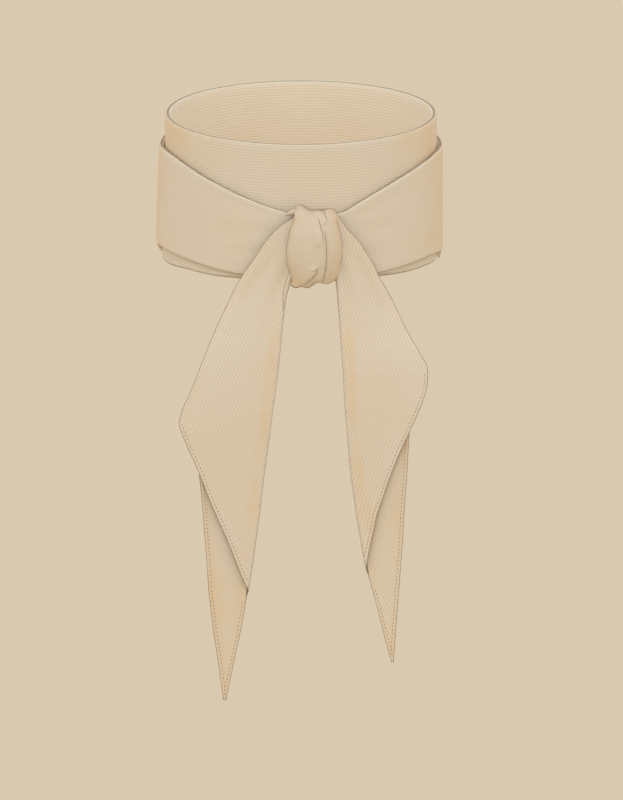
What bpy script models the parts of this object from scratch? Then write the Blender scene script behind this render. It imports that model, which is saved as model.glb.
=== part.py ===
"""A folded neckcloth, wound twice round the neck and knotted at the throat, hollow as if worn.

Metres, +Z up, the front at -Y. The origin is the middle of the neck opening, halfway up the band.
Tables are in millimetres and degrees, as a maker would measure them, and MM turns them into metres.
"""

import math
from collections import namedtuple

import bmesh
import bpy

MM = 0.001

# Driving sizes
NECK_GIRTH = 380.0 * MM
BAND_HEIGHT = 67.0 * MM
BAND_WALL = 2.5 * MM
WRAP_WALL = 2.5 * MM
TAIL_WALL = 1.2 * MM
SEAM_GAP = 0.3 * MM

# Radii of the layers, from the neck outwards
NECK_RADIUS = NECK_GIRTH / (2 * math.pi)
BAND_OUTSIDE = NECK_RADIUS + BAND_WALL
WRAP_INSIDE = BAND_OUTSIDE + SEAM_GAP
WRAP_OUTSIDE = WRAP_INSIDE + WRAP_WALL
TAIL_INSIDE = WRAP_OUTSIDE + SEAM_GAP

# The tails are folded lengthwise: the fold is a half round of this radius at mid wall
FOLD_RADIUS = 1.2 * MM
KNOT_SEAT = TAIL_INSIDE + TAIL_WALL + 2 * FOLD_RADIUS + SEAM_GAP

BAND_STEPS = 72
WRAP_STEP_DEG = 5.0
TAIL_ROW_STEP = 7.0
HEM_TURN_STEP = 1.0
HEM_TURN_WIDTH = 5.0
CURVE_MIDDLE_SHARE = 0.15
FACE_COLUMNS = 5
FOLD_COLUMNS = 4
UNDER_COLUMNS = 5
CLOSEST_COLUMNS = 0.35 * MM
KNOT_AROUND = 40
KNOT_RINGS = 22

CLOTH_COLOUR = (0.66, 0.54, 0.39, 1.0)
KNOT_COLOUR = (0.63, 0.49, 0.33, 1.0)
CLOTH_ROUGHNESS = 0.72

# A wrap section: the angle round the neck from the front, positive to +X, then its top and bottom edges above
# the band's middle, how far it lifts off the first turn, how far its bottom edge stands out, and how deep its
# gathers are
WrapSection = namedtuple("WrapSection", "angle top bottom lift flare gather")
LEFT_WRAP = [
    WrapSection(-195, 20.9, -33.5, 0.0, 0.0, 0.0),
    WrapSection(-150, 20.8, -34.2, 0.0, 0.2, 0.0),
    WrapSection(-120, 19.8, -34.4, 0.0, 0.6, 0.0),
    WrapSection(-100, 18.9, -34.0, 0.0, 1.2, 0.0),
    WrapSection(-90, 18.8, -32.4, 0.0, 1.4, 0.0),
    WrapSection(-83, 19.4, -28.8, 0.0, 1.4, 0.0),
    WrapSection(-77, 19.9, -27.0, 0.0, 1.2, 0.0),
    WrapSection(-66, 19.5, -26.8, 0.0, 0.8, 0.0),
    WrapSection(-55, 17.6, -27.1, 0.0, 0.5, 0.0),
    WrapSection(-40, 13.3, -28.4, 0.0, 0.2, 0.0),
    WrapSection(-22, 7.1, -29.8, 0.0, 0.0, 0.0),
    WrapSection(-11, 3.4, -30.0, 0.0, 0.0, 0.0),
    WrapSection(-3, 1.2, -29.6, 0.0, 0.0, 0.0),
    WrapSection(5, 0.6, -28.8, 0.0, 0.0, 0.0),
]
RIGHT_WRAP = [
    WrapSection(8.5, 0.4, -28.8, 0.0, 0.0, 0.0),
    WrapSection(16, 1.0, -29.8, 0.0, 0.0, 0.0),
    WrapSection(24, 5.0, -30.2, 0.0, 0.0, 0.0),
    WrapSection(33, 9.2, -30.0, 0.0, 0.0, 0.0),
    WrapSection(46, 14.0, -29.2, 0.0, 0.0, 0.0),
    WrapSection(62, 17.6, -28.6, 0.0, 0.0, 0.0),
    WrapSection(75, 18.9, -29.8, 0.0, 0.0, 0.0),
    WrapSection(82, 18.9, -31.4, 0.0, 0.0, 0.0),
    WrapSection(90, 18.8, -34.4, 0.0, 0.0, 0.0),
    WrapSection(110, 19.0, -35.2, 0.0, 0.0, 0.0),
    WrapSection(140, 20.6, -35.0, 0.0, 0.0, 0.1),
    WrapSection(160, 22.5, -33.4, 2.8, 0.0, 0.3),
    WrapSection(172, 23.8, -25.0, 2.8, 0.0, 0.5),
    WrapSection(185, 25.8, -8.0, 2.8, 0.0, 0.7),
    WrapSection(198, 28.0, 9.0, 2.8, 0.0, 0.6),
    WrapSection(210, 29.8, 22.2, 2.8, 0.0, 0.3),
    WrapSection(222, 30.8, 26.0, 0.6, 0.0, 0.0),
    WrapSection(231, 31.2, 29.0, 0.0, 0.0, 0.0),
]
GATHERS_ACROSS = 3

# A wrap's edges are folded cloth, so its wall thins to them: rows from the bottom edge, as a share of its
# height and the share of the full wall left there
WrapRow = namedtuple("WrapRow", "across wall")
WRAP_ROWS = [
    WrapRow(0.0, 0.2),
    WrapRow(0.025, 0.6),
    WrapRow(0.08, 0.92),
    WrapRow(0.25, 1.0),
    WrapRow(0.5, 1.0),
    WrapRow(0.75, 1.0),
    WrapRow(0.9, 0.9),
    WrapRow(0.97, 0.6),
    WrapRow(1.0, 0.2),
]

# A tail section: its height, the face layer's width from the fold, the fold's place across, the under
# layer's free edge, how far it hangs forward, how much wider than the neck it curves across, and the extra
# gap between its layers. Below where the hem crosses the fold the width is negative: only the under layer is
# left.
TailSection = namedtuple("TailSection", "z face fold under forward curve puff")
LEFT_TAIL = [
    TailSection(1.5, 6.6, 4.8, -1.2, 0.0, 0, 0.0),
    TailSection(-5.5, 15.4, 4.0, -10.4, 0.0, 0, 0.0),
    TailSection(-16.8, 21.2, 1.5, -18.0, 0.0, 0, 0.0),
    TailSection(-26.8, 22.9, -3.2, -24.2, 0.0, 0, 0.0),
    TailSection(-37.3, 24.9, -6.8, -29.6, 0.2, 4, 0.3),
    TailSection(-51.2, 29.6, -8.6, -35.6, 1.2, 20, 0.9),
    TailSection(-65.5, 34.3, -10.0, -41.0, 2.0, 50, 1.3),
    TailSection(-81.2, 38.6, -11.8, -46.0, 2.4, 80, 1.5),
    TailSection(-93.0, 42.0, -13.4, -49.2, 2.4, 100, 1.4),
    TailSection(-97.5, 42.6, -13.9, -50.0, 2.3, 110, 1.3),
    TailSection(-102.0, 41.0, -14.4, -49.6, 2.2, 120, 1.2),
    TailSection(-109.4, 37.0, -15.4, -48.6, 2.0, 130, 1.0),
    TailSection(-122.7, 29.4, -17.2, -47.2, 1.6, 150, 0.7),
    TailSection(-134.2, 23.8, -18.5, -46.0, 1.3, 160, 0.5),
    TailSection(-156.1, 11.7, -21.3, -44.3, 0.8, 180, 0.2),
    TailSection(-170.0, 4.6, -23.2, -43.3, 0.5, 190, 0.0),
    TailSection(-178.0, 0.0, -24.7, -42.8, 0.4, 200, 0.0),
    TailSection(-186.0, -2.0, -25.9, -41.9, 0.3, 200, 0.0),
    TailSection(-194.3, -6.0, -27.3, -41.0, 0.2, 200, 0.0),
    TailSection(-212.4, -6.0, -31.0, -38.4, 0.0, 200, 0.0),
    TailSection(-230.4, -6.0, -34.6, -36.0, 0.0, 200, 0.0),
]
RIGHT_TAIL = [
    TailSection(1.5, 8.4, 8.6, 16.2, 0.0, 0, 0.0),
    TailSection(-5.5, 12.5, 8.8, 20.2, 0.0, 0, 0.0),
    TailSection(-14.5, 17.7, 10.6, 26.2, 0.0, 0, 0.0),
    TailSection(-25.6, 18.7, 15.6, 32.0, 0.0, 0, 0.0),
    TailSection(-41.2, 24.6, 17.4, 39.4, 0.3, 6, 0.4),
    TailSection(-56.3, 30.8, 18.5, 45.6, 1.4, 24, 1.0),
    TailSection(-66.0, 35.8, 19.2, 49.4, 2.0, 45, 1.3),
    TailSection(-73.8, 38.9, 19.8, 51.6, 2.3, 60, 1.4),
    TailSection(-80.3, 38.4, 20.1, 52.2, 2.3, 70, 1.3),
    TailSection(-89.0, 35.5, 20.5, 51.6, 2.2, 85, 1.2),
    TailSection(-98.9, 30.5, 21.3, 50.6, 2.0, 100, 1.0),
    TailSection(-112.8, 22.9, 22.4, 49.7, 1.6, 120, 0.8),
    TailSection(-122.4, 18.2, 23.3, 49.2, 1.3, 140, 0.6),
    TailSection(-132.0, 13.7, 24.6, 48.5, 1.0, 150, 0.4),
    TailSection(-142.0, 9.2, 25.9, 47.8, 0.8, 160, 0.2),
    TailSection(-151.0, 5.9, 27.4, 47.3, 0.6, 170, 0.0),
    TailSection(-160.0, 2.5, 28.9, 46.8, 0.5, 180, 0.0),
    TailSection(-168.0, 0.0, 30.6, 46.2, 0.4, 190, 0.0),
    TailSection(-176.0, -2.0, 32.6, 45.6, 0.3, 200, 0.0),
    TailSection(-184.0, -6.0, 34.7, 45.0, 0.2, 200, 0.0),
    TailSection(-200.0, -6.0, 38.6, 43.8, 0.0, 200, 0.0),
    TailSection(-212.4, -6.0, 41.8, 43.0, 0.0, 200, 0.0),
]

# A knot section: its height, its left and right edges, how far its front stands off its seat, the radius of
# its seat, and the place of the crease between its two lobes
KnotSection = namedtuple("KnotSection", "z left right depth seat crease")
KNOT_SEAT_MM = KNOT_SEAT / MM
TOP_SEAT_MM = WRAP_INSIDE / MM
KNOT = [
    KnotSection(5.0, -1.0, 0.6, 0.4, TOP_SEAT_MM, 0.2),
    KnotSection(4.5, -2.6, 1.8, 3.4, TOP_SEAT_MM, 1.6),
    KnotSection(3.8, -3.1, 6.5, 6.4, TOP_SEAT_MM, 5.0),
    KnotSection(3.2, -3.2, 13.4, 8.2, TOP_SEAT_MM, 7.6),
    KnotSection(2.4, -3.2, 15.6, 3.4, KNOT_SEAT_MM, 8.0),
    KnotSection(1.2, -3.1, 16.7, 4.6, KNOT_SEAT_MM, 8.0),
    KnotSection(-1.0, -3.7, 16.6, 6.0, KNOT_SEAT_MM, 8.4),
    KnotSection(-4.6, -4.9, 17.5, 7.4, KNOT_SEAT_MM, 10.0),
    KnotSection(-9.5, -6.0, 18.7, 8.8, KNOT_SEAT_MM, 11.4),
    KnotSection(-15.0, -6.7, 19.2, 9.6, KNOT_SEAT_MM, 11.9),
    KnotSection(-19.0, -6.5, 18.8, 9.6, KNOT_SEAT_MM, 11.8),
    KnotSection(-23.0, -5.6, 18.0, 8.9, KNOT_SEAT_MM, 11.4),
    KnotSection(-27.0, -4.3, 17.2, 7.4, KNOT_SEAT_MM, 10.8),
    KnotSection(-30.2, -4.1, 16.4, 5.4, KNOT_SEAT_MM, 9.8),
    KnotSection(-31.8, -4.8, 14.4, 3.6, KNOT_SEAT_MM, 9.0),
    KnotSection(-32.8, -4.8, 6.4, 2.2, KNOT_SEAT_MM, 4.0),
    KnotSection(-33.6, -2.4, 2.8, 0.6, KNOT_SEAT_MM, 1.0),
]
LOBE_SHARE = 0.3


def read(table, key, column, at):
    """A column of a table at a place between its rows, with no overshoot at the rows' turning points."""
    rows = sorted((getattr(row, key), getattr(row, column)) for row in table)
    places = [row[0] for row in rows]
    values = [row[1] for row in rows]
    at = min(max(at, places[0]), places[-1])
    row = max(i for i in range(len(rows) - 1) if places[i] <= at)
    steps = [(values[i + 1] - values[i]) / (places[i + 1] - places[i]) for i in range(len(rows) - 1)]

    def slope(i):
        before = steps[max(i - 1, 0)]
        after = steps[min(i, len(steps) - 1)]
        return 2 * before * after / (before + after) if before * after > 0 else 0.0

    span = places[row + 1] - places[row]
    t = (at - places[row]) / span
    rise = values[row + 1] - values[row]
    return (
        values[row]
        + t * span * slope(row) * (1 - t) ** 2
        + rise * t * t * (3 - 2 * t)
        - t * t * (1 - t) * span * slope(row + 1)
    )


def cloth_material(name, colour):
    material = bpy.data.materials.new(name)
    material.use_nodes = True
    shader = material.node_tree.nodes["Principled BSDF"]
    shader.inputs["Base Color"].default_value = colour
    shader.inputs["Roughness"].default_value = CLOTH_ROUGHNESS
    shader.inputs["Metallic"].default_value = 0.0
    return material


def add_object(name, mesh, collection, colour=CLOTH_COLOUR):
    mesh.materials.append(cloth_material(name + "_cloth", colour))
    mesh.shade_smooth()
    mesh.set_sharp_from_angle(angle=math.radians(50))
    body = bpy.data.objects.new(name, mesh)
    collection.objects.link(body)
    return body


def add_sheet(name, columns, rows, place, collection):
    """A flat grid of cloth whose points are moved by place(column, row)."""
    bm = bmesh.new()
    bmesh.ops.create_grid(bm, x_segments=columns, y_segments=rows, size=0.5)
    for point in bm.verts:
        point.co = place(round((point.co.x + 0.5) * columns), round((point.co.y + 0.5) * rows))
    mesh = bpy.data.meshes.new(name)
    bm.to_mesh(mesh)
    bm.free()
    return add_object(name, mesh, collection)


def add_wall(body, wall, offset):
    """Gives a sheet its wall: offset 0 is half to each side, 1 all of it on the side the faces look to."""
    thicken = body.modifiers.new("Wall", "SOLIDIFY")
    thicken.thickness = wall
    thicken.offset = offset
    thicken.use_even_offset = True
    return thicken


def make_neck_band(collection):
    """The first turn: a closed band with a folded, rounded top edge and bottom edge."""
    half = BAND_HEIGHT / 2
    round_off = BAND_WALL / 2
    middle = NECK_RADIUS + round_off
    edge_steps = 4
    profile = []
    for i in range(edge_steps + 1):
        turn = math.pi * i / edge_steps
        profile.append((middle - round_off * math.cos(turn), half - round_off * (1 - math.sin(turn))))
    profile += [(BAND_OUTSIDE, 0.0)]
    for i in range(edge_steps + 1):
        turn = math.pi * i / edge_steps
        profile.append((middle + round_off * math.cos(turn), -half + round_off * (1 - math.sin(turn))))
    profile += [(NECK_RADIUS, 0.0)]
    bm = bmesh.new()
    points = [bm.verts.new((radius, 0.0, z)) for radius, z in profile]
    for i, point in enumerate(points):
        bm.edges.new((point, points[(i + 1) % len(points)]))
    mesh = bpy.data.meshes.new("neck_band")
    bm.to_mesh(mesh)
    bm.free()
    body = add_object("neck_band", mesh, collection)
    turned = body.modifiers.new("Turned", "SCREW")
    turned.steps = BAND_STEPS
    turned.render_steps = BAND_STEPS
    turned.use_merge_vertices = True
    turned.merge_threshold = 0.00001
    return body


def make_wrap(name, table, collection):
    """A stretch of the second turn: its inner face lies on the first turn and its wall is put outside it."""
    first = table[0].angle
    last = table[-1].angle
    columns = round(abs(last - first) / WRAP_STEP_DEG)
    rows = len(WRAP_ROWS) - 1

    def place(column, row):
        angle = first + (last - first) * column / columns
        share = WRAP_ROWS[row].across
        top, bottom, lift, flare, gather = (
            read(table, "angle", key, angle) * MM for key in WrapSection._fields[1:]
        )
        waves = 0.5 - 0.5 * math.cos(2 * math.pi * GATHERS_ACROSS * share)
        radius = WRAP_INSIDE + lift + flare * (1 - share) + gather * waves
        turn = math.radians(angle)
        return (radius * math.sin(turn), -radius * math.cos(turn), bottom + (top - bottom) * share)

    body = add_sheet(name, columns, rows, place, collection)
    group = body.vertex_groups.new(name="wall")
    for row, section in enumerate(WRAP_ROWS):
        start = row * (columns + 1)
        group.add(list(range(start, start + columns + 1)), section.wall, "REPLACE")
    thicken = add_wall(body, WRAP_WALL, 1.0)
    thicken.vertex_group = group.name
    thicken.thickness_vertex_group = 0.0
    return body


def fold_length(width, fold_radius):
    """Length of cloth round the fold for a width seen from in front."""
    if width <= fold_radius:
        return fold_radius * math.acos(1 - width / fold_radius)
    return fold_radius * math.pi / 2 + width - fold_radius


def fold_place(length, fold_radius):
    """How far in from the fold, and how far forward of the under layer, a point lies that is this length of
    cloth from the fold's crest. The face layer has negative lengths."""
    quarter = fold_radius * math.pi / 2
    if abs(length) < quarter:
        turn = length / fold_radius
        return fold_radius * (1 - math.cos(turn)), fold_radius * (1 - math.sin(turn))
    inward = fold_radius + abs(length) - quarter
    return inward, (0.0 if length > 0 else 2 * fold_radius)


def row_heights(table):
    """Heights of a tail's rows in millimetres, closer together where the hem turns round the fold."""
    heights = []
    for upper, lower in zip(table, table[1:]):
        at_turn = abs(upper.face) < HEM_TURN_WIDTH and abs(lower.face) < HEM_TURN_WIDTH
        steps = math.ceil((upper.z - lower.z) / (HEM_TURN_STEP if at_turn else TAIL_ROW_STEP))
        heights += [upper.z + (lower.z - upper.z) * step / steps for step in range(steps)]
    return heights + [table[-1].z]


def make_tail(name, table, side, collection):
    """A hanging end, folded lengthwise. Side is -1 where it spreads to -X from its fold, and 1 to +X."""
    columns = FACE_COLUMNS + FOLD_COLUMNS + UNDER_COLUMNS
    heights = row_heights(table)
    rows = len(heights) - 1
    inner = TAIL_INSIDE + TAIL_WALL / 2

    def place(column, row):
        z = heights[row]
        face, fold, under, forward, curve, puff = (
            read(table, "z", key, z) * MM for key in TailSection._fields[1:]
        )
        radius = FOLD_RADIUS + puff / 2
        quarter = radius * math.pi / 2
        start = -fold_length(face, radius) if face >= 0 else fold_length(min(-face, radius), radius)
        crest = fold - side * (fold_place(start, radius)[0] if start > 0 else 0.0)
        end = fold_length(abs(under - crest), radius)
        closest = min(CLOSEST_COLUMNS, 0.8 * (end - start) / columns)
        turn_in = max(-quarter, start + closest * FACE_COLUMNS)
        turn_out = max(quarter, turn_in + closest * FOLD_COLUMNS)
        turn_out = min(turn_out, end - closest * UNDER_COLUMNS)
        turn_in = min(turn_in, turn_out - closest * FOLD_COLUMNS)
        if column <= FACE_COLUMNS:
            length = start + (turn_in - start) * column / FACE_COLUMNS
        elif column <= FACE_COLUMNS + FOLD_COLUMNS:
            length = turn_in + (turn_out - turn_in) * (column - FACE_COLUMNS) / FOLD_COLUMNS
        else:
            length = turn_out + (end - turn_out) * (column - FACE_COLUMNS - FOLD_COLUMNS) / UNDER_COLUMNS
        inward, off = fold_place(length, radius)
        x = crest + side * inward
        across = x - side * CURVE_MIDDLE_SHARE * curve
        y = curve - forward - math.sqrt((inner + curve + off) ** 2 - across**2)
        return (x, y, z * MM)

    body = add_sheet(name, columns, rows, place, collection)
    add_wall(body, TAIL_WALL, 0.0)
    return body


def make_knot(collection):
    """The loop of the knot: a ball whose points are moved to the knot's sections, flat where it is seated."""
    highest = KNOT[0].z
    lowest = KNOT[-1].z
    bm = bmesh.new()
    bmesh.ops.create_uvsphere(bm, u_segments=KNOT_AROUND, v_segments=KNOT_RINGS, radius=1.0)
    for point in bm.verts:
        z = highest + (lowest - highest) * (1 - point.co.z) / 2
        left, right, depth, seat, crease = (
            read(KNOT, "z", key, z) * MM for key in KnotSection._fields[1:]
        )
        ring = math.hypot(point.co.x, point.co.y)
        across = point.co.x / ring if ring > 0.001 else 0.0
        front = max(0.0, -point.co.y / ring) if ring > 0.001 else 0.0
        x = (left + right) / 2 + (right - left) / 2 * across
        if x < crease:
            lobe = math.sin(math.pi * (x - left) / (crease - left)) if crease > left else 0.0
        else:
            lobe = math.sin(math.pi * (x - crease) / (right - crease)) if right > crease else 0.0
        arch = (1 - LOBE_SHARE) * front**0.8 + LOBE_SHARE * front * max(0.0, lobe) ** 0.5
        point.co = (x, -math.sqrt(seat**2 - x**2) - depth * arch, z * MM)
    mesh = bpy.data.meshes.new("knot")
    bm.to_mesh(mesh)
    bm.free()
    return add_object("knot", mesh, collection, KNOT_COLOUR)


def main():
    for old in list(bpy.data.objects):
        bpy.data.objects.remove(old)
    collection = bpy.data.collections.new("neckcloth")
    bpy.context.scene.collection.children.link(collection)
    make_neck_band(collection)
    make_wrap("wrap_left", LEFT_WRAP, collection)
    make_wrap("wrap_right", RIGHT_WRAP, collection)
    make_tail("tail_left", LEFT_TAIL, -1, collection)
    make_tail("tail_right", RIGHT_TAIL, 1, collection)
    make_knot(collection)


main()
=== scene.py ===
import bisect
import math

import bmesh
import bpy
from mathutils import Matrix, Vector


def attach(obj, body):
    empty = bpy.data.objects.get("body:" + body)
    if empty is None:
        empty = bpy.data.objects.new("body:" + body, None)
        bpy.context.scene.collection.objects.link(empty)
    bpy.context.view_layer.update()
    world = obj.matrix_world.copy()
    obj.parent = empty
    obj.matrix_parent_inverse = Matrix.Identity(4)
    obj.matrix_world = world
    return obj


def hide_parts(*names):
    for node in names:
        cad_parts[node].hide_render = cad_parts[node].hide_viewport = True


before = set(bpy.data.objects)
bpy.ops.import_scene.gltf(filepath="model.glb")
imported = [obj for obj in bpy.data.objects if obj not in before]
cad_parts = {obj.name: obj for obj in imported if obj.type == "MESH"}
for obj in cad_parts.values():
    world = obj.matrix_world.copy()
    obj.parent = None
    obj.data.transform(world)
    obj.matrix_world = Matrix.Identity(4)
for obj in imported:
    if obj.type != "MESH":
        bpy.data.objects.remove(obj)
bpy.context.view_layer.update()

# sizes are in millimetres, flat sizes in metres, and angles are degrees round the neck from the front
mm = 0.001
body = "root"


# Reading tables

def smoothLine(places, values):  # a line through a table's rows that never swings past them
    rows = sorted(zip(places, values))
    xs = [row[0] for row in rows]
    ys = [row[1] for row in rows]
    steps = [(ys[i + 1] - ys[i]) / (xs[i + 1] - xs[i]) for i in range(len(rows) - 1)]
    slopes = []
    for i in range(len(rows)):
        before = steps[max(i - 1, 0)]
        after = steps[min(i, len(steps) - 1)]
        slopes.append(2 * before * after / (before + after) if before * after > 0 else 0.0)

    def read(at):
        at = min(max(at, xs[0]), xs[-1])
        i = min(bisect.bisect_right(xs, at), len(xs) - 1) - 1
        span = xs[i + 1] - xs[i]
        t = (at - xs[i]) / span
        return (ys[i] + t * span * slopes[i] * (1 - t) ** 2
                + (ys[i + 1] - ys[i]) * t * t * (3 - 2 * t)
                - t * t * (1 - t) * span * slopes[i + 1])
    return read


def smoothLines(table, by):  # one reader for each column of a table
    return {key: smoothLine(table[by], table[key]) for key in table if key != by}


def soft(low, high, at):  # 0 up to low, 1 from high, smooth between
    t = min(max((at - low) / (high - low), 0.0), 1.0)
    return t * t * (3 - 2 * t)


def nearLine(points, x, z):  # how far off a crease's line, and the share of the way along it
    best = (1e9, 0.0)
    for i in range(len(points) - 1):
        ax, az = points[i]
        bx, bz = points[i + 1]
        length = (bx - ax) ** 2 + (bz - az) ** 2
        t = min(max(((x - ax) * (bx - ax) + (z - az) * (bz - az)) / length, 0.0), 1.0)
        away = math.hypot(x - ax - t * (bx - ax), z - az - t * (bz - az))
        best = min(best, (away, (i + t) / (len(points) - 1)))
    return best


def creaseRelief(creases, x, z):  # how far soft creases lift the cloth here, or press it in
    relief = 0.0
    for path, height, width in creases:
        away, share = nearLine(path, x, z)
        if away < 3 * width:
            relief += height * (1 - abs(2 * share - 1) ** 4) * math.exp(-((away / width) ** 2))
    return relief


# Making finishes

class Wire:  # a socket that can be used in sums
    def __init__(self, finish, socket):
        self.finish = finish
        self.socket = socket

    def part(self, name):
        return Wire(self.finish, self.socket.node.outputs[name])

    def sum(self, operation, first, second):
        return self.finish.node("Math", {"operation": operation}, {0: first, 1: second})

    def __add__(self, other):
        return self.sum("ADD", self, other)

    def __radd__(self, other):
        return self.sum("ADD", other, self)

    def __sub__(self, other):
        return self.sum("SUBTRACT", self, other)

    def __rsub__(self, other):
        return self.sum("SUBTRACT", other, self)

    def __mul__(self, other):
        return self.sum("MULTIPLY", self, other)

    def __rmul__(self, other):
        return self.sum("MULTIPLY", other, self)

    def __pow__(self, other):
        return self.sum("POWER", self, other)


class Finish:  # a material, and the one method that adds nodes to it
    def __init__(self, name):
        self.material = bpy.data.materials.new(name)
        self.material.use_nodes = True
        self.tree = self.material.node_tree
        self.shader = self.tree.nodes["Principled BSDF"]

    def node(self, kind, settings=None, sockets=None, output=0):
        made = self.tree.nodes.new("ShaderNode" + kind)
        for key, value in (settings or {}).items():
            setattr(made, key, value)
        for key, value in (sockets or {}).items():
            if isinstance(value, Wire):
                self.tree.links.new(value.socket, made.inputs[key])
            else:
                made.inputs[key].default_value = value
        return Wire(self, made.outputs[output])

    def paint(self, **sockets):  # sets or links the shader's own sockets
        for key, value in sockets.items():
            socket = self.shader.inputs[key.replace("_", " ")]
            if isinstance(value, Wire):
                self.tree.links.new(value.socket, socket)
            else:
                socket.default_value = value

    def mix(self, share, first, second):  # colours 6 and 7, the result is output 2
        return self.node("Mix", {"data_type": "RGBA"}, {0: share, 6: first, 7: second}, 2)

    def noise(self, place, scale, detail):
        return self.node("TexNoise", {"noise_dimensions": "3D"},
                         {"Vector": place, "Scale": scale, "Detail": detail}, "Fac")

    def step(self, low, high, value):  # 0 up to low, 1 from high, smooth between
        return self.node("MapRange", {"interpolation_type": "SMOOTHSTEP"},
                         {"Value": value, "From Min": low, "From Max": high})


def dye(red, green, blue):  # a colour as read off a screen, 0 to 255
    return tuple(((c / 255 + 0.055) / 1.055) ** 2.4 for c in (red, green, blue)) + (1.0,)


clothLook = {
    "cream": dye(223, 210, 189),
    # pale: painted light on the shaded insides
    "pale": dye(236, 223, 202),
    # ochre: painted shade at sides, folds and under layers, and random clouds
    "ochre": dye(226, 200, 164),
    "groove": dye(177, 156, 127),  # between two ribs: painted shade in the groove
    "wornShadeLine": dye(140, 123, 99),  # a dark line along folds and edges: partly worn and soiled, partly painted shade where the cloth turns under and in its creases
    "grooveShare": 0.42,
    "grooveEdge": (0.66, 0.98),  # where a groove starts and is darkest, from a rib's middle out
    "grooveLeast": 0.3,
    "grooveUneven": 1.3,
    "ribWander": 0.6,  # how far the ribs stray, in ribs
    "ribHeight": 0.035 * mm,
    "threadHeight": 0.014 * mm,
    "threadTurn": 21.0,  # fine cross threads for each rib's width, in radians
    "wornShadeEdge": (0.12, 0.45),  # mm in from an edge
    "wornShadeLeast": 0.5,
    "wornShadeShare": 0.85,
    "ochreShadeEdge": (0.3, 1.0),  # of the warmth that each piece gives, the ochre painted shade
    "ochreShadeUneven": 0.7,
    "cloudEdge": (0.3, 0.8),
    "cloudShare": 0.10,
    "noises": {"wander": (90.0, 1.0), "uneven": (420.0, 2.0), "cloudy": (38.0, 3.0)},  # scale, detail
    "roughness": 0.84,
    "roughnessUneven": 0.12,
    "sheen": 0.12,
    "sheenRoughness": 0.5,
    "specular": 0.25,
}


def clothFinish(name, look):
    finish = Finish(name)
    ribs = finish.node("UVMap", {"uv_map": "ribs"})
    place = finish.node("TexCoord", output="Object")
    rim = finish.node("Attribute", {"attribute_name": "rim"}, output="Fac")
    warmth = finish.node("Attribute", {"attribute_name": "warmth"}, output="Fac")
    across = finish.node("SeparateXYZ", sockets={0: ribs}, output="Y")
    wander = finish.noise(place, *look["noises"]["wander"])
    uneven = finish.noise(place, *look["noises"]["uneven"])
    cloudy = finish.noise(place, *look["noises"]["cloudy"])
    strayed = across + (wander - 0.5) * look["ribWander"]
    phase = finish.node("Math", {"operation": "FRACT"}, {0: strayed})
    off = finish.node("Math", {"operation": "ABSOLUTE"}, {0: phase * 2.0 - 1.0})
    groove = finish.step(*look["grooveEdge"], off) * (look["grooveLeast"] + uneven * look["grooveUneven"])
    threads = finish.node("Math", {"operation": "SINE"}, {0: across.part("X") * look["threadTurn"]})
    # the warmth attribute mixes in ochre: painted shade
    warm = finish.step(*look["ochreShadeEdge"], warmth + (cloudy - 0.5) * look["ochreShadeUneven"])
    # a negative warmth mixes in the pale colour: painted light
    colour = finish.mix(finish.step(0.0, 1.0, 0.0 - warmth), look["cream"], look["pale"])
    colour = finish.mix(warm, colour, look["ochre"])
    clouds = finish.step(*look["cloudEdge"], cloudy) * look["cloudShare"]
    colour = finish.mix(clouds, colour, look["ochre"])
    # painted shade: the groove colour darkens the cloth between its ribs
    colour = finish.mix(groove * look["grooveShare"], colour, look["groove"])
    # the dark line along edges, fold crests and creases: partly wear, partly painted shade
    wornAndShaded = (1.0 - finish.step(*look["wornShadeEdge"], rim)) * (look["wornShadeLeast"] + uneven)
    colour = finish.mix(wornAndShaded * look["wornShadeShare"], colour, look["wornShadeLine"])
    height = (1.0 - off ** 2.0) * look["ribHeight"] + threads * look["threadHeight"]
    bump = finish.node("Bump", None, {"Height": height, "Distance": 1.0, "Strength": 1.0})
    roughness = look["roughness"] + (uneven - 0.5) * look["roughnessUneven"]
    finish.paint(Base_Color=colour, Roughness=roughness, Normal=bump)
    finish.paint(Sheen_Weight=look["sheen"], Sheen_Roughness=look["sheenRoughness"])
    finish.paint(Specular_IOR_Level=look["specular"])
    return finish.material


ribbedCloth = clothFinish("ribbedCloth", clothLook)
knotCloth = clothFinish("knotCloth", {
    **clothLook,
    "cream": dye(217, 201, 178),
    "ochre": dye(220, 195, 160),
    "grooveShare": 0.46,
})


threadLook = {
    "dark": dye(104, 86, 66),
    "light": dye(142, 120, 96),
    "twist": (2600.0, 1.0),  # scale, detail
    "roughness": 0.85,
}


def threadFinish(look):
    finish = Finish("hemThread")
    place = finish.node("TexCoord", output="Object")
    twist = finish.noise(place, *look["twist"])
    finish.paint(Base_Color=finish.mix(twist, look["dark"], look["light"]), Roughness=look["roughness"])
    return finish.material


hemThread = threadFinish(threadLook)
print("finishes ready")


# Making cloth

def clothGrid(columns, rows, place, ribs, marks):  # a flat grid of cloth, each point laid where place says
    bm = bmesh.new()
    bmesh.ops.create_grid(bm, x_segments=columns, y_segments=rows, size=0.5)
    uv = bm.loops.layers.uv.new("ribs")
    rim = bm.verts.layers.float.new("rim")
    warmth = bm.verts.layers.float.new("warmth")
    spots = {}
    for vert in bm.verts:
        spot = (round((vert.co.x + 0.5) * columns), round((vert.co.y + 0.5) * rows))
        spots[vert.index] = spot
        vert.co = Vector(place(*spot)) * mm
        vert[rim], vert[warmth] = marks(*spot)
    for face in bm.faces:
        middle = sum(spots[vert.index][0] for vert in face.verts) / 4
        for loop in face.loops:
            loop[uv].uv = ribs(*spots[loop.vert.index], middle)
    return bm


def closeTube(bm, openEnds):  # joins the grid's meeting edges and turns its faces outwards
    bmesh.ops.remove_doubles(bm, verts=bm.verts, dist=0.01 * mm)
    if openEnds:
        bmesh.ops.holes_fill(bm, edges=[edge for edge in bm.edges if edge.is_boundary], sides=0)
    bmesh.ops.recalc_face_normals(bm, faces=bm.faces)


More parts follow.
